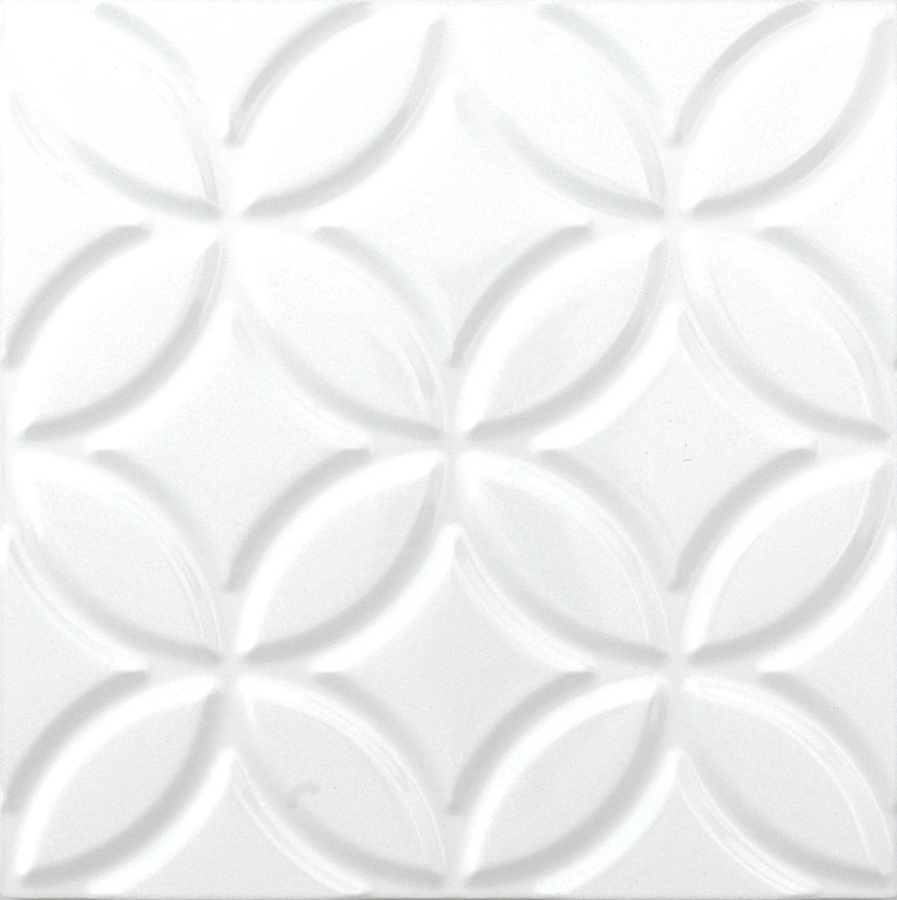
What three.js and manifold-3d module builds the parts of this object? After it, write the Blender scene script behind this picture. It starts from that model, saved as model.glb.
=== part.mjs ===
// A square glazed ceramic wall tile, pressed in one piece, with a relief of interlocking circles.
// Rounded grooves follow the circles. What they leave standing are the flat petals where two
// circles overlap and the flat diamonds, with four hollow sides, in the middle of each circle.
// The tile lies on its back with the glazed face up: millimetres, +Z up, the origin at the middle
// of the back, +X to the right and +Y up the wall as the face is seen.
import * as THREE from 'three';
import { mergeVertices } from 'three/addons/utils/BufferGeometryUtils.js';
import Module from 'manifold-3d';

const wasm = await Module();
wasm.setup();

// The tile
const tileSide = 150;
const tileThickness = 9;
const faceEdgeRound = 0.4;
const faceCornerRound = 0.8;

// The pattern: a whole number of circles across the tile, each touching its second neighbours.
// It lies a little right of the tile's middle, and a little above it.
const circlesAcross = 2;
const edgeMargin = 0.65;
const patternShift = 0.55;
const patternRise = 0.25;

// The groove: a narrow floor on the circle, between two walls of the same width. A wall is steepest
// halfway up at a lean of 1, and nearer to the face at a smaller one.
const grooveDepth = 1.65;
const grooveFloor = 0.4;
const grooveWall = 4.4;
const grooveLean = 0.8;

// How finely the round shapes are faceted
const circleSegments = 40;
const wallSteps = 3;
const edgeRoundSteps = 3;
const cornerSteps = 3;

// Room that a cutting shape keeps beyond the surface that it cuts
const cutRoom = 1;

const circleRadius = (tileSide - 2 * edgeMargin) / circlesAcross / 2;
const cornerRound = faceCornerRound + faceEdgeRound;

function toSolid(geometry) {
  const bare = geometry.clone();
  bare.deleteAttribute('normal');
  bare.deleteAttribute('uv');
  const merged = mergeVertices(bare);
  return new wasm.Manifold(new wasm.Mesh({
    numProp: 3,
    vertProperties: new Float32Array(merged.attributes.position.array),
    triVerts: new Uint32Array(merged.index.array),
  }));
}

function toGeometry(solid) {
  const { vertProperties, triVerts } = solid.getMesh();
  const geometry = new THREE.BufferGeometry();
  geometry.setAttribute('position', new THREE.BufferAttribute(vertProperties, 3));
  geometry.setIndex(new THREE.BufferAttribute(triVerts, 1));
  geometry.computeVertexNormals();
  return geometry;
}

// The tile's outline as seen on its face
function roundedSquare(side, radius) {
  const reach = side / 2 - radius;
  const shape = new THREE.Shape();
  shape.moveTo(reach, -side / 2);
  shape.absarc(reach, -reach, radius, -Math.PI / 2, 0, false);
  shape.absarc(reach, reach, radius, 0, Math.PI / 2, false);
  shape.absarc(-reach, reach, radius, Math.PI / 2, Math.PI, false);
  shape.absarc(-reach, -reach, radius, Math.PI, 1.5 * Math.PI, false);
  return shape;
}

// The plain slab, its face's edge rounded over. The extrusion rounds its lower edge too, so it
// starts below the back and is cut off flat there.
function makeSlab() {
  const below = faceEdgeRound + cutRoom;
  const geometry = new THREE.ExtrudeGeometry(roundedSquare(tileSide, cornerRound), {
    depth: tileThickness + below - 2 * faceEdgeRound,
    curveSegments: cornerSteps,
    bevelSegments: edgeRoundSteps,
    bevelThickness: faceEdgeRound,
    bevelSize: faceEdgeRound,
    bevelOffset: -faceEdgeRound,
  });
  geometry.translate(0, 0, faceEdgeRound - below);
  const floorSide = tileSide + 2 * cutRoom;
  const floor = new THREE.BoxGeometry(floorSide, floorSide, below + cutRoom);
  floor.translate(0, 0, -(below + cutRoom) / 2);
  return toSolid(geometry).subtract(toSolid(floor));
}

// One wall of the groove from the face down to the floor: rounded over at the top and into the floor
function wallPoints(faceRadius, floorRadius) {
  const points = [];
  for (let step = 0; step <= wallSteps; step += 1) {
    const along = step / wallSteps;
    const drop = grooveDepth * (1 - Math.cos(Math.PI * along ** grooveLean)) / 2;
    const radius = faceRadius + (floorRadius - faceRadius) * along;
    points.push(new THREE.Vector2(radius, tileThickness - drop));
  }
  return points;
}

// The ring that cuts the groove of one circle
function makeGroove(x, y) {
  const floorInner = circleRadius - grooveFloor / 2;
  const floorOuter = circleRadius + grooveFloor / 2;
  const faceInner = floorInner - grooveWall;
  const faceOuter = floorOuter + grooveWall;
  const top = tileThickness + cutRoom;
  const section = [
    new THREE.Vector2(faceInner, top),
    ...wallPoints(faceInner, floorInner),
    ...wallPoints(faceOuter, floorOuter).reverse(),
    new THREE.Vector2(faceOuter, top),
    new THREE.Vector2(faceInner, top),
  ];
  const ring = new THREE.LatheGeometry(section, circleSegments);
  ring.rotateX(Math.PI / 2);
  ring.translate(x, y, 0);
  return toSolid(ring);
}

// Circle centres lie on every other point of a square lattice, and the circles meet at the rest
function circleCentres() {
  const centres = [];
  for (let column = -circlesAcross; column <= circlesAcross; column += 1) {
    for (let row = -circlesAcross; row <= circlesAcross; row += 1) {
      if ((column + row) % 2 !== 0) {
        centres.push([column * circleRadius + patternShift, row * circleRadius + patternRise]);
      }
    }
  }
  return centres;
}

function makeTile() {
  let solid = makeSlab();
  for (const [x, y] of circleCentres()) {
    solid = solid.subtract(makeGroove(x, y));
  }
  const glaze = new THREE.MeshStandardMaterial({ color: 0xf0f2f3, roughness: 0.12, metalness: 0 });
  const tile = new THREE.Mesh(toGeometry(solid), glaze);
  tile.name = 'tile';
  return tile;
}

const model = new THREE.Group();
model.add(makeTile());

export default model;
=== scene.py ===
"""A square relief tile: its fine relief as one mesh, white glaze over a fired body, on a pale floor."""
import math

import bpy
import numpy as np
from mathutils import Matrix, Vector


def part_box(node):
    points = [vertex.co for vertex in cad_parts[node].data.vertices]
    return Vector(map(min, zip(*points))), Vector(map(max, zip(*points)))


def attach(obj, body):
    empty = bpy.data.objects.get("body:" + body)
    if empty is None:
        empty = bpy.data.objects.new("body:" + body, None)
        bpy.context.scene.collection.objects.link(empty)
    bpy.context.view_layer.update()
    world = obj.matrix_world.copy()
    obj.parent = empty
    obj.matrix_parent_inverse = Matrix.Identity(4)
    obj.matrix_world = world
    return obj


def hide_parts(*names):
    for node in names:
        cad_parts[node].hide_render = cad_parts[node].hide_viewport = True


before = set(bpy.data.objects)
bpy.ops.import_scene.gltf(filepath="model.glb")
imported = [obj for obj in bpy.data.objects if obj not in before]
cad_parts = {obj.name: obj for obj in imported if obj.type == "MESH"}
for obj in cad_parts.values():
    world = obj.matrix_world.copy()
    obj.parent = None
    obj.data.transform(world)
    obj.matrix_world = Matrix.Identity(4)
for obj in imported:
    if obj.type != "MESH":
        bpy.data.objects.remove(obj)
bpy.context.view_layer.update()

MM = 0.001

# The photograph's size, how wide the tile is in it and where the tile's middle lies, in pixels
IMAGE_WIDTH, IMAGE_HEIGHT = 897, 900
TILE_PIXELS = 902.0
TILE_MIDDLE_X, TILE_MIDDLE_Y = 449.5, 449.5

# The tile's box, and what one pixel of the photograph measures on it
LOW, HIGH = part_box("tile")
SIDE = HIGH[0] - LOW[0]
TOP = HIGH[2]
PIXEL = SIDE / TILE_PIXELS

# The pattern: petals and diamonds stand as pillows between grooves that follow circles. So many
# circles go across the tile, inside a margin, and the whole lies a little to the right and up.
CIRCLES_ACROSS = 2
EDGE_MARGIN = 0.65 * MM
PATTERN_SHIFT = 0.55 * MM
PATTERN_RISE = 0.25 * MM
CIRCLE_RADIUS = (SIDE - 2 * EDGE_MARGIN) / CIRCLES_ACROSS / 2

# The section of a pillow's side, by distance from the circle that the groove follows. Its slopes are
# rises per unit of run: a wall that grows steeper from the floor up and falls off quickly beyond its
# steepest place, and then only a soft shoulder and the faint crown.
SECTION_START = -1 * MM
SECTION_POINTS = 4000
FLOOR_HALF = 0.15 * MM
STEEPEST_AT, WALL_TOP = 3.1 * MM, 4.75 * MM
WALL_SLOPE = 0.6
LOWER_CURVE, UPPER_CURVE = 0.68, 1.3
SHOULDER_SLOPE = 0.06
SHOULDER_FADE = 1.5 * MM
CROWN_SLOPE = 0.006
CROWN_FADE = 8 * MM

# Pillows have sharp corners from this far from the circle, and rounded ones nearer to it
SHARP_FROM = 3.1 * MM

# The face eases down a little before its tightly rounded edge. The upright corners are rounded too.
EDGE_EASE = 1.1 * MM
EASE_DROP = 0.055 * MM
EDGE_ROUND = 0.25 * MM
CORNER_ROUND = 1.2 * MM
EDGE_ROWS = 5

# The sides: glaze runs part of the way down, and the bare body below it is a little smaller. The
# glaze's lower end is wavy: how many waves go round the tile, their share and where they start.
GLAZE_REACH = 4.6 * MM
GLAZE_WAVE = 0.5 * MM
GLAZE_END_WAVES = ((3, 1.0, 0.4), (7, 0.6, 1.7), (17, 0.4, 0.9))
GLAZE_STEP = 0.12 * MM
FOOT_CHAMFER = 0.4 * MM

# The mesh: its cells across the face, and the numbers of its two materials
GRID_CELLS = 288
GLAZE, BODY = 0, 1

# The face isn't quite even: faint waves, by their length and their steepest slope
WAVES = 14
WAVE_SEED = 5
WAVE_SHORTEST, WAVE_LONGEST = 7 * MM, 45 * MM
WAVE_SLOPE = 0.0011


def section_table():
    """Depth below the pillow's middle by distance from the circle, added up from the slopes."""
    distance = np.linspace(SECTION_START, CIRCLE_RADIUS, SECTION_POINTS)
    above_floor = np.maximum(distance - FLOOR_HALF, 0)
    up_to_steepest = np.clip(above_floor / (STEEPEST_AT - FLOOR_HALF), 0, 1)
    to_top = np.clip((WALL_TOP - distance) / (WALL_TOP - STEEPEST_AT), 0, 1)
    slope = WALL_SLOPE * up_to_steepest**LOWER_CURVE * to_top**UPPER_CURVE
    up_to_top = np.clip(above_floor / WALL_TOP, 0, 1)
    past_top = np.maximum(distance - WALL_TOP, 0)
    for top_slope, fade in ((SHOULDER_SLOPE, SHOULDER_FADE), (CROWN_SLOPE, CROWN_FADE)):
        slope += top_slope * up_to_top * np.exp(-past_top / fade)
    rise = np.cumsum(slope) * (distance[1] - distance[0])
    return distance, rise[-1] - rise


SECTION = section_table()
GROOVE_DEPTH = SECTION[1].max()


def section_drop(distance):
    return np.interp(distance, *SECTION)


def diamond_distance(x, y):
    """How far inside a diamond's outline each point lies. Outside it, distances go round its corners."""
    radius = CIRCLE_RADIUS + SHARP_FROM
    tip = CIRCLE_RADIUS - math.sqrt(radius**2 - CIRCLE_RADIUS**2)
    x, y = np.abs(x), np.abs(y)
    dx, dy = CIRCLE_RADIUS - x, CIRCLE_RADIUS - y
    away = np.hypot(dx, dy)
    beside_arc = (dx + dy) * radius >= away * (2 * CIRCLE_RADIUS - tip)
    to_tip = np.minimum(np.hypot(x - tip, y), np.hypot(x, y - tip))
    inside = np.where(beside_arc, away - radius, -to_tip)
    return np.where((dx > 0) & (dy > 0), inside, -CIRCLE_RADIUS)


def petal_distance(along, across):
    """The same for a petal, from its middle."""
    radius = CIRCLE_RADIUS - SHARP_FROM
    middle = CIRCLE_RADIUS / math.sqrt(2)
    tip = math.sqrt(radius**2 - middle**2)
    along, across = np.abs(along), np.abs(across)
    away = np.hypot(along, across + middle)
    beside_arc = (across + middle) * radius >= away * middle
    return np.where(beside_arc, radius - away, -np.hypot(along - tip, across))


def relief_drop(x, y):
    """How far the face lies below the pillows' tops at each point."""
    x, y = x - PATTERN_SHIFT, y - PATTERN_RISE
    drop = np.full_like(x, section_drop(0))
    steps = range(-CIRCLES_ACROSS - 1, CIRCLES_ACROSS + 1)
    for column in steps:
        for row in steps:
            odd = (column + row) % 2
            if odd:
                dx, dy = x - column * CIRCLE_RADIUS, y - row * CIRCLE_RADIUS
                drop = np.minimum(drop, section_drop(SHARP_FROM + diamond_distance(dx, dy)))
            dx, dy = x - (column + 0.5) * CIRCLE_RADIUS, y - (row + 0.5) * CIRCLE_RADIUS
            lean = -1 if odd else 1
            along, across = (dx + lean * dy) / math.sqrt(2), (dy - lean * dx) / math.sqrt(2)
            drop = np.minimum(drop, section_drop(SHARP_FROM + petal_distance(along, across)))
    return drop


def inside_distance(x, y):
    """Distance in from the tile's outline, a square with rounded corners."""
    reach = SIDE / 2 - CORNER_ROUND
    past_x, past_y = np.abs(x) - reach, np.abs(y) - reach
    outside = np.hypot(np.maximum(past_x, 0), np.maximum(past_y, 0))
    return CORNER_ROUND - outside - np.minimum(np.maximum(past_x, past_y), 0)


def face_rows():
    """Grid lines across the face: even in the middle and closer over the rounded edges."""
    angles = np.linspace(0, math.pi / 2, EDGE_ROWS + 1)
    edge = SIDE / 2 - EDGE_ROUND * (1 - np.sin(angles[1:]))
    reach = SIDE / 2 - EDGE_ROUND
    return np.concatenate([-edge[::-1], np.linspace(-reach, reach, GRID_CELLS + 1), edge])


def round_corners(x, y):
    """Moves the grid's square corners onto the rounded ones."""
    reach = SIDE / 2 - CORNER_ROUND
    u = np.maximum(np.abs(x) - reach, 0) / CORNER_ROUND
    v = np.maximum(np.abs(y) - reach, 0) / CORNER_ROUND
    both = (u > 0) & (v > 0)
    new_x = np.where(both, np.sign(x) * (reach + CORNER_ROUND * u * np.sqrt(1 - v * v / 2)), x)
    new_y = np.where(both, np.sign(y) * (reach + CORNER_ROUND * v * np.sqrt(1 - u * u / 2)), y)
    return new_x, new_y


def wave_drop(x, y):
    """Faint unevenness of the pressed face, never above the flat."""
    random = np.random.default_rng(WAVE_SEED)
    drop = np.zeros_like(x)
    for length in np.geomspace(WAVE_SHORTEST, WAVE_LONGEST, WAVES):
        turn, phase = random.uniform(0, 2 * math.pi, 2)
        along = x * math.cos(turn) + y * math.sin(turn)
        height = WAVE_SLOPE * length / (2 * math.pi)
        drop += height * (1 + np.sin(2 * math.pi * along / length + phase))
    return drop


def face_height(x, y):
    """The glazed surface: the relief and the waves, lower towards the rounded edge."""
    inside = inside_distance(x, y)
    depth_in = np.clip(inside, 0, EDGE_ROUND)
    edge_drop = EDGE_ROUND - np.sqrt(np.maximum(EDGE_ROUND**2 - (EDGE_ROUND - depth_in) ** 2, 0))
    ease_drop = EASE_DROP * (1 - np.clip(inside / EDGE_EASE, 0, 1)) ** 2
    return TOP - relief_drop(x, y) - wave_drop(x, y) - edge_drop - ease_drop


def outline_ring(count):
    """Indices of the face grid's border, once round, counter-clockwise from above."""
    last = count - 1
    index = np.arange(count * count).reshape(count, count)
    return np.concatenate([index[0, :last], index[:last, last], index[last, last:0:-1], index[last:0:-1, 0]])


def make_tile_mesh():
    """The face as a height field, then the sides, a chamfered foot and the flat back."""
    rows = face_rows()
    count = len(rows)
    x, y = (a.ravel() for a in np.meshgrid(rows, rows))
    x, y = round_corners(x, y)
    points = np.stack([x, y, face_height(x, y)], axis=1)

    corner = (np.arange(count - 1)[:, None] * count + np.arange(count - 1)).ravel()
    faces = np.stack([corner, corner + 1, corner + count + 1, corner + count], axis=1)

    ring = outline_ring(count)
    rim = points[ring]
    turn = np.linspace(0, 2 * math.pi, len(ring), endpoint=False)
    wave = sum(height * np.sin(times * turn + start) for times, height, start in GLAZE_END_WAVES)
    glaze_end = TOP - GLAZE_REACH + GLAZE_WAVE * wave / 2
    back = np.zeros(len(ring))

    def level(inset, height):
        shrink = 1 - 2 * inset / SIDE
        return np.stack([rim[:, 0] * shrink, rim[:, 1] * shrink, height], axis=1)

    glazed = [level(0, glaze_end), level(GLAZE_STEP, glaze_end - GLAZE_STEP)]
    bare = [level(GLAZE_STEP, back + FOOT_CHAMFER), level(GLAZE_STEP + FOOT_CHAMFER, back)]
    sides, upper = [], ring
    for number in range(len(glazed) + len(bare)):
        lower = len(points) + number * len(ring) + np.arange(len(ring))
        sides.append(np.stack([upper, lower, np.roll(lower, -1), np.roll(upper, -1)], axis=1))
        upper = lower
    points = np.concatenate([points, *glazed, *bare])
    quads = np.concatenate([faces, *sides])
    back_face = upper[::-1]

    mesh = bpy.data.meshes.new("tile_relief")
    mesh.from_pydata(points.tolist(), [], [*quads.tolist(), back_face.tolist()])
    glaze_faces = len(faces) + len(glazed) * len(ring)
    kinds = [GLAZE] * glaze_faces + [BODY] * (len(quads) + 1 - glaze_faces)
    mesh.polygons.foreach_set("material_index", kinds)
    mesh.polygons.foreach_set("use_smooth", [True] * len(quads) + [False])
    mesh.update()
    return mesh


def shader(name):
    """A new material, its node tree and its surface node."""
    material = bpy.data.materials.new(name)
    material.use_nodes = True
    return material, material.node_tree, material.node_tree.nodes["Principled BSDF"]


def add_node(tree, kind, inputs, output=0, **settings):
    """Makes a node, sets or links its inputs, and gives back one of its outputs."""
    node = tree.nodes.new("ShaderNode" + kind)
    for name, value in settings.items():
        setattr(node, name, value)
    for socket, value in inputs.items():
        if isinstance(value, bpy.types.NodeSocket):
            tree.links.new(value, node.inputs[socket])
        else:
            node.inputs[socket].default_value = value
    return node.outputs[output]


def math_node(tree, operation, a, b=0.0):
    return add_node(tree, "Math", {0: a, 1: b}, operation=operation)


def ramp(tree, value, start, end, low=0.0, high=1.0):
    """A smooth step from low to high, as the value goes from start to end."""
    inputs = {"Value": value, "From Min": start, "From Max": end, "To Min": low, "To Max": high}
    return add_node(tree, "MapRange", inputs, interpolation_type="SMOOTHSTEP")


def mix_colour(tree, factor, a, b):
    inputs = {"Factor": factor, 6: a, 7: b}
    return add_node(tree, "Mix", inputs, output=2, data_type="RGBA")


def position_in_mm(tree):
    """The place on the tile in millimetres, as a vector and as its X, Y and Z."""
    place = add_node(tree, "TexCoord", {}, output="Object")
    place = add_node(tree, "VectorMath", {0: place, "Scale": 1 / MM}, operation="SCALE")
    axes = tree.nodes.new("ShaderNodeSeparateXYZ")
    tree.links.new(place, axes.inputs[0])
    return place, *axes.outputs


# Noise runs from 0 to 1, and mostly stays between these two
NOISE_LOW, NOISE_HIGH = 0.3, 0.7
NOISE_ROUGHNESS = 0.6


def noise(tree, place, size, detail=2.0):
    """Noise with features of a size in millimetres."""
    inputs = {"Vector": place, "Scale": 1 / size, "Detail": detail, "Roughness": NOISE_ROUGHNESS}
    return add_node(tree, "TexNoise", inputs)


def scattered_points(tree, place, spacing, dimensions):
    """Points about a spacing apart: how many spacings off the nearest is, and its own 0 to 1."""
    cells = tree.nodes.new("ShaderNodeTexVoronoi")
    cells.voronoi_dimensions = dimensions
    cells.inputs["Scale"].default_value = 1 / spacing
    tree.links.new(place, cells.inputs["Vector"])
    luck = add_node(tree, "SeparateColor", {0: cells.outputs["Color"]})
    return cells.outputs["Distance"], luck


def offset_from(tree, x, y, centre):
    """Where the face lies from a point on it: X, Y and the distance."""
    dx = math_node(tree, "SUBTRACT", x, centre[0])
    dy = math_node(tree, "SUBTRACT", y, centre[1])
    offset = add_node(tree, "CombineXYZ", {0: dx, 1: dy})
    return dx, dy, add_node(tree, "VectorMath", {0: offset}, output="Value", operation="LENGTH")


# A soft arc: the share of its width that is at full strength, how softly its ends fade, and a
# least distance from its centre that directions are worked out with
ARC_CORE = 0.2
ARC_END_FADE = 0.12
LEAST_DISTANCE = 0.001


def arc_mark(tree, x, y, centre, radius, width, middle_angle, half_angle):
    """A soft arc on the face, 1 on its line and 0 away from it. Sizes are in millimetres."""
    dx, dy, away = offset_from(tree, x, y, centre)
    off_line = math_node(tree, "ABSOLUTE", math_node(tree, "SUBTRACT", away, radius))
    across = ramp(tree, off_line, width, ARC_CORE * width)
    a = math.radians(middle_angle)
    towards = math_node(tree, "ADD", math_node(tree, "MULTIPLY", dx, math.cos(a)),
                        math_node(tree, "MULTIPLY", dy, math.sin(a)))
    cosine = math_node(tree, "DIVIDE", towards, math_node(tree, "MAXIMUM", away, LEAST_DISTANCE))
    end = math.cos(math.radians(half_angle))
    along = ramp(tree, cosine, end - ARC_END_FADE, end + ARC_END_FADE)
    return math_node(tree, "MULTIPLY", across, along)


# The glaze's colours: white and a little cloudy, with painted shade: slightly darker and less blue low in
# the grooves, and greyer along the rim. The painted groove shade starts at this share of the groove's depth,
# and the painted rim shade grows from the first distance from the tile's edge to the second. Sizes are in
# millimetres.
GLAZE_WHITE = (0.80, 0.815, 0.832, 1)
GLAZE_CLOUD = (0.79, 0.806, 0.818, 1)
GROOVE_PAINTED_SHADE = (0.785, 0.8, 0.808, 1)
RIM_PAINTED_SHADE = (0.715, 0.725, 0.73, 1)
CLOUD_SIZE = 18
GROOVE_SHADE_FROM = 0.4
RIM_SHADE_FROM, RIM_SHADE_FULL = 1.3, 0.2
GRAIN_SIZE = 0.3
GRAIN_DARK, GRAIN_LIGHT = 0.93, 1.055

# The gloss, and the faint orange peel of the glazed surface
GLAZE_IOR = 1.52
GLOSS_SIZE = 3
GLOSS_SHARP, GLOSS_DULL = 0.04, 0.07
PEEL_SIZE = 1.1
PEEL_HEIGHT = 0.0005 * MM

# Pinholes: how far apart they lie, the radius of the largest and how dark they are. Each one's luck,
# from 0 to 1, sets its size, and the smallest is a share of the largest. The deepest ones have a place
# of their own. Sizes and places are in millimetres.
PINHOLES = ((11.0, 0.17, 0.45), (6.5, 0.1, 0.3))
PINHOLE_LUCK = 0.1
PINHOLE_SMALLEST = 0.3
PINHOLE_CORE = 0.4
DEEP_PINHOLES = ((36.7, 4.7), (39.3, 0.7), (32.8, -0.6), (-19.1, -56.2))
DEEP_RADIUS, DEEP_DARKNESS = 0.17, 0.75
PINHOLE_COLOUR = (0.15, 0.15, 0.15, 1)

# A painted dark reflection shaped like a hook, of a slight dent in the glaze in the lower left petal, and a
# hair's mark near the right diamond's middle: centre, radius, half width, the direction of its middle and
# its half angle. The painted reflection is blotchy.
# The painted dark reflection of a dent in the glaze
DENT_REFLECTION = ((-23.6, -58.9), 2.6, 1.5, 125, 76)
DENT_REFLECTION_TINT = (0.69, 0.705, 0.70, 1)
BLOTCH_SIZE = 1.3
BLOTCH_LOW, BLOTCH_HIGH = 0.35, 0.6
BLOTCH_FAINTEST = 0.6
HAIR = ((39.75, -3.05), 1.35, 0.1, 100, 32)
HAIR_TINT = (0.32, 0.32, 0.33, 1)

# Pinholes and marks stay off the sides: they fade out between these depths, in millimetres
FACE_END, FACE_FULL = 3, 2.5


def glaze_colour(tree, place, x, y, z):
    """White, with its clouds, painted shade low in the grooves and along the rim, and a fine grain."""
    colour = mix_colour(tree, noise(tree, place, CLOUD_SIZE), GLAZE_WHITE, GLAZE_CLOUD)
    # Painted shade: the glaze is darker and less blue low in the grooves
    groove_shade = ramp(tree, z, (TOP - GROOVE_DEPTH) / MM, (TOP - GROOVE_SHADE_FROM * GROOVE_DEPTH) / MM, 1, 0)
    colour = mix_colour(tree, groove_shade, colour, GROOVE_PAINTED_SHADE)

    # Painted shade: the glaze is greyer along the tile's rounded rim
    outwards = [math_node(tree, "ABSOLUTE", axis) for axis in (x, y)]
    outermost = math_node(tree, "MAXIMUM", *outwards)
    edge = SIDE / 2 / MM
    rim_shade = ramp(tree, outermost, edge - RIM_SHADE_FROM, edge - RIM_SHADE_FULL)
    colour = mix_colour(tree, rim_shade, colour, RIM_PAINTED_SHADE)

    speckle = noise(tree, place, GRAIN_SIZE)
    grain = ramp(tree, speckle, NOISE_LOW, NOISE_HIGH, GRAIN_DARK, GRAIN_LIGHT)
    return add_node(tree, "VectorMath", {0: colour, "Scale": grain}, operation="SCALE")


def pinholes(tree, x, y):
    """How dark each place is from the pinhole over it."""
    pits = 0.0
    flat_place = add_node(tree, "CombineXYZ", {0: x, 1: y})
    for spacing, radius, darkness in PINHOLES:
        distance, luck = scattered_points(tree, flat_place, spacing, "2D")
        away = math_node(tree, "MULTIPLY", distance, spacing)
        reach = ramp(tree, luck, PINHOLE_LUCK, 1, PINHOLE_SMALLEST * radius, radius)
        hole = ramp(tree, math_node(tree, "DIVIDE", away, reach), 1, PINHOLE_CORE, 0, darkness)
        pits = math_node(tree, "MAXIMUM", hole, pits)
    for centre in DEEP_PINHOLES:
        away = offset_from(tree, x, y, centre)[2]
        hole = ramp(tree, away, DEEP_RADIUS, PINHOLE_CORE * DEEP_RADIUS, 0, DEEP_DARKNESS)
        pits = math_node(tree, "MAXIMUM", hole, pits)
    return pits


def painted_dent_reflection(tree, place, x, y):
    """How strong the blotchy painted reflection of the dent is at each place."""
    blotches = noise(tree, place, BLOTCH_SIZE)
    blotches = ramp(tree, blotches, BLOTCH_LOW, BLOTCH_HIGH, BLOTCH_FAINTEST, 1)
    return math_node(tree, "MULTIPLY", arc_mark(tree, x, y, *DENT_REFLECTION), blotches)


def make_glaze():
    """White gloss with fine grain, pinholes, a hair's mark and a painted dark reflection, and painted shade
    in the grooves and along the rim.
    """
    material, tree, surface = shader("white_glaze")
    place, x, y, z = position_in_mm(tree)
    colour = glaze_colour(tree, place, x, y, z)

    on_face = ramp(tree, z, TOP / MM - FACE_END, TOP / MM - FACE_FULL)
    marks = (
        (pinholes(tree, x, y), PINHOLE_COLOUR),
        # A painted dark reflection of a slight dent, shaped like a hook
        (painted_dent_reflection(tree, place, x, y), DENT_REFLECTION_TINT),
        (arc_mark(tree, x, y, *HAIR), HAIR_TINT),
    )
    for strength, tint in marks:
        colour = mix_colour(tree, math_node(tree, "MULTIPLY", strength, on_face), colour, tint)
    tree.links.new(colour, surface.inputs["Base Color"])

    dull = ramp(tree, noise(tree, place, GLOSS_SIZE), NOISE_LOW, NOISE_HIGH, GLOSS_SHARP, GLOSS_DULL)
    tree.links.new(dull, surface.inputs["Roughness"])
    surface.inputs["IOR"].default_value = GLAZE_IOR
    peel = noise(tree, place, PEEL_SIZE)
    bump = add_node(tree, "Bump", {"Height": peel, "Strength": 1.0, "Distance": PEEL_HEIGHT})
    tree.links.new(bump, surface.inputs["Normal"])
    return material


# The fired body's colours and clouds
BODY_PALE = (0.70, 0.64, 0.56, 1)
BODY_DARK = (0.60, 0.53, 0.45, 1)
BODY_CLOUD_SIZE = 9
BODY_DETAIL = 4
BODY_ROUGHNESS = 0.9

# Its dark specks: their luck sets their radius, which is a share of the spacing
BODY_SPECK = (0.25, 0.19, 0.14, 1)
SPECK_SPACING = 1.1
SPECK_LUCK = 0.6
SPECK_SMALLEST, SPECK_LARGEST = 0.001, 0.22
SPECK_CORE = 0.5

# Pale streaks where it was rubbed, drawn out along X
BODY_RUBBED = (0.78, 0.73, 0.66, 1)
STREAK_SQUEEZE = (0.08, 1.6, 1.0)
STREAK_SIZE = 1.2
STREAK_DETAIL = 3
STREAK_LOW, STREAK_HIGH = 0.52, 0.75
STREAK_STRENGTH = 0.5

# Its sandy tooth and the streaks as relief, in millimetres
TOOTH_SIZE = 0.35
TOOTH_HEIGHT = 0.08
STREAK_HEIGHT = 0.05


def make_body():
    """Fired clay: cream and matt, cloudy, with fine dark specks, a sandy tooth and rubbed streaks."""
    material, tree, surface = shader("fired_body")
    place = position_in_mm(tree)[0]
    cloud = noise(tree, place, BODY_CLOUD_SIZE, BODY_DETAIL)
    colour = mix_colour(tree, ramp(tree, cloud, NOISE_LOW, NOISE_HIGH), BODY_PALE, BODY_DARK)

    distance, luck = scattered_points(tree, place, SPECK_SPACING, "3D")
    reach = ramp(tree, luck, SPECK_LUCK, 1, SPECK_SMALLEST, SPECK_LARGEST)
    speck = ramp(tree, math_node(tree, "DIVIDE", distance, reach), 1, SPECK_CORE)
    colour = mix_colour(tree, speck, colour, BODY_SPECK)

    squeezed = add_node(tree, "VectorMath", {0: place, 1: STREAK_SQUEEZE}, operation="MULTIPLY")
    streak = noise(tree, squeezed, STREAK_SIZE, STREAK_DETAIL)
    rubbed = ramp(tree, streak, STREAK_LOW, STREAK_HIGH, 0, STREAK_STRENGTH)
    colour = mix_colour(tree, rubbed, colour, BODY_RUBBED)
    tree.links.new(colour, surface.inputs["Base Color"])
    surface.inputs["Roughness"].default_value = BODY_ROUGHNESS

    tooth = math_node(tree, "MULTIPLY", noise(tree, place, TOOTH_SIZE, BODY_DETAIL), TOOTH_HEIGHT)
    height = math_node(tree, "ADD", tooth, math_node(tree, "MULTIPLY", streak, STREAK_HEIGHT))
    bump = add_node(tree, "Bump", {"Height": height, "Strength": 1.0, "Distance": MM})
    tree.links.new(bump, surface.inputs["Normal"])
    return material


def add_object(name, data):
    thing = bpy.data.objects.new(name, data)
    bpy.context.scene.collection.objects.link(thing)
    return thing


def make_tile():
    tile = add_object("tile_relief", make_tile_mesh())
    tile.data.materials.append(make_glaze())
    tile.data.materials.append(make_body())
    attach(tile, "root")
    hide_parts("tile")


# The camera looks straight down, and its picture shows what the photograph shows
CAMERA_DISTANCE = 0.5
CAMERA_CLIP = 0.01
SENSOR = 36 * MM


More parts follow.
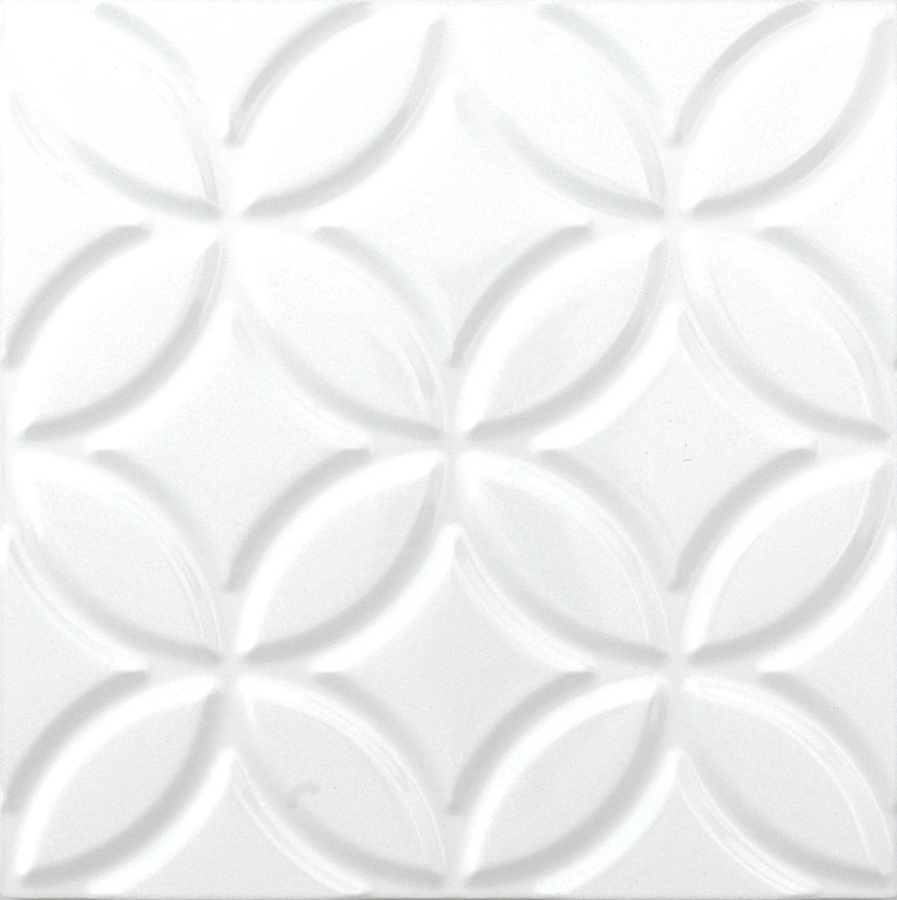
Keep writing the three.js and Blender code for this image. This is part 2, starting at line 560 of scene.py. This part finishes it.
def make_camera():
    camera = add_object("camera", bpy.data.cameras.new("camera"))
    camera.location = (
        (IMAGE_WIDTH / 2 - TILE_MIDDLE_X) * PIXEL,
        -(IMAGE_HEIGHT / 2 - TILE_MIDDLE_Y) * PIXEL,
        TOP + CAMERA_DISTANCE,
    )
    camera.data.sensor_width = SENSOR / MM
    camera.data.lens = SENSOR / MM * CAMERA_DISTANCE / (IMAGE_HEIGHT * PIXEL)
    camera.data.clip_start = CAMERA_CLIP
    bpy.context.scene.camera = camera


def add_light(name, width, height, radiance):
    """A soft rectangular light that facing rays see at one brightness, whatever its size."""
    light = bpy.data.lights.new(name, "AREA")
    light.shape = "RECTANGLE"
    light.size, light.size_y = width, height
    light.energy = radiance * math.pi * width * height
    panel = add_object(name, light)
    panel.visible_camera = False
    return panel


# The windows and pale walls round the tile, in degrees and metres: azimuth counter-clockwise from +X
# as seen from above, elevation, width, height and brightness
WINDOW_DISTANCE = 0.55
WINDOWS = {
    "low_left": (180, 24, 0.4, 0.19, 2.0),
    "low_far_left": (135, 21, 0.4, 0.17, 10.2),
    "low_far_right": (45, 21, 0.4, 0.17, 1.4),
    "low_right": (0, 24, 0.4, 0.19, 1.5),
    "low_near_right": (315, 11, 0.4, 0.15, 1.25),
    "low_near_left": (225, 10, 0.4, 0.13, 4.2),
    "high_left": (180, 43, 0.26, 0.17, 1.6),
    "high_far": (90, 43, 0.26, 0.17, 1.5),
    "high_far_right": (45, 37, 0.34, 0.13, 1.6),
    "high_right": (0, 43, 0.26, 0.17, 2.1),
}

# The ceiling above the tile's top: left, right, near and far ends of its panels, and their brightness
CEILING_HEIGHT = 0.5
CEILING = {
    "ceiling_far_left": (-0.36, -0.12, 0.055, 0.19, 1.3),
    "ceiling_far_left_end": (-0.36, -0.12, 0.19, 0.36, 1.2),
    "ceiling_far": (-0.12, 0.12, 0.055, 0.36, 1.55),
    "ceiling_far_right": (0.12, 0.36, 0.055, 0.19, 2.3),
    "ceiling_far_right_end": (0.12, 0.36, 0.19, 0.36, 1.7),
    "ceiling_left": (-0.36, -0.2, -0.118, 0.055, 1.3),
    "ceiling_right": (0.2, 0.36, -0.118, 0.055, 3.1),
    "ceiling_near_left": (-0.36, -0.12, -0.36, -0.118, 0.3),
    "ceiling_near": (-0.12, 0.12, -0.24, -0.118, 0.7),
    "ceiling_near_right": (0.12, 0.36, -0.36, -0.118, 0.65),
}

# A dark opening in the ceiling shows in the glaze. It is built as bands from far to near: where each
# starts, the opening's left and right ends in it, and how bright the band is on its left and right.
OPENING = (
    (0.055, -0.018, 0.042, 1.3, 1.4),
    (0.030, -0.024, 0.052, 1.15, 1.4),
    (-0.015, -0.016, 0.048, 0.9, 1.3),
    (-0.050, -0.008, 0.042, 0.75, 1.15),
    (-0.085, 0.0, 0.033, 0.7, 1.0),
)
OPENING_NEAR_END = -0.118
BAND_REACH = 0.2


def make_ceiling():
    panels = dict(CEILING)
    near_ends = [band[0] for band in OPENING[1:]] + [OPENING_NEAR_END]
    for band, (far_end, left, right, on_left, on_right) in enumerate(OPENING):
        panels[f"beside_left_{band}"] = (-BAND_REACH, left, near_ends[band], far_end, on_left)
        panels[f"beside_right_{band}"] = (right, BAND_REACH, near_ends[band], far_end, on_right)
    for name, (left, right, near_end, far_end, radiance) in panels.items():
        panel = add_light(name, right - left, far_end - near_end, radiance)
        panel.location = ((left + right) / 2, (near_end + far_end) / 2, TOP + CEILING_HEIGHT)


def make_windows():
    for name, (azimuth, elevation, width, height, radiance) in WINDOWS.items():
        panel = add_light(name, width, height, radiance)
        a, e = math.radians(azimuth), math.radians(elevation)
        outwards = (math.cos(a) * math.cos(e), math.sin(a) * math.cos(e), math.sin(e))
        panel.location = [WINDOW_DISTANCE * part for part in outwards]
        panel.rotation_euler = (math.pi / 2 - e, 0, a + math.pi / 2)


# The room: white walls, pale at the horizon, and dim from this height up
ROOM_COLOUR = (1, 1, 1, 1)
ROOM_PALE, ROOM_DIM = 0.5, 0.03
DIM_FROM = 0.35


def make_room():
    world = bpy.data.worlds.new("room")
    bpy.context.scene.world = world
    world.use_nodes = True
    tree = world.node_tree
    direction = add_node(tree, "TexCoord", {}, output="Generated")
    height = add_node(tree, "SeparateXYZ", {0: direction}, output=2)
    strength = ramp(tree, height, 0, DIM_FROM, ROOM_PALE, ROOM_DIM)
    background = tree.nodes["Background"]
    tree.links.new(strength, background.inputs["Strength"])
    background.inputs["Color"].default_value = ROOM_COLOUR


# The floor is a round sheet that reaches a little past the low lights
FLOOR_RADIUS = 0.6
FLOOR_CORNERS = 96
FLOOR_COLOUR = (0.68, 0.68, 0.67, 1)
FLOOR_ROUGHNESS = 0.6


def make_floor():
    mesh = bpy.data.meshes.new("floor")
    angles = np.linspace(0, 2 * math.pi, FLOOR_CORNERS, endpoint=False)
    corners = [(FLOOR_RADIUS * math.cos(a), FLOOR_RADIUS * math.sin(a), 0) for a in angles]
    mesh.from_pydata(corners, [], [range(FLOOR_CORNERS)])
    floor = add_object("floor", mesh)
    material, _tree, surface = shader("pale_floor")
    surface.inputs["Base Color"].default_value = FLOOR_COLOUR
    surface.inputs["Roughness"].default_value = FLOOR_ROUGHNESS
    mesh.materials.append(material)


make_camera()
make_tile()
make_ceiling()
make_windows()
make_room()
make_floor()
bpy.context.scene.view_settings.view_transform = "Standard"
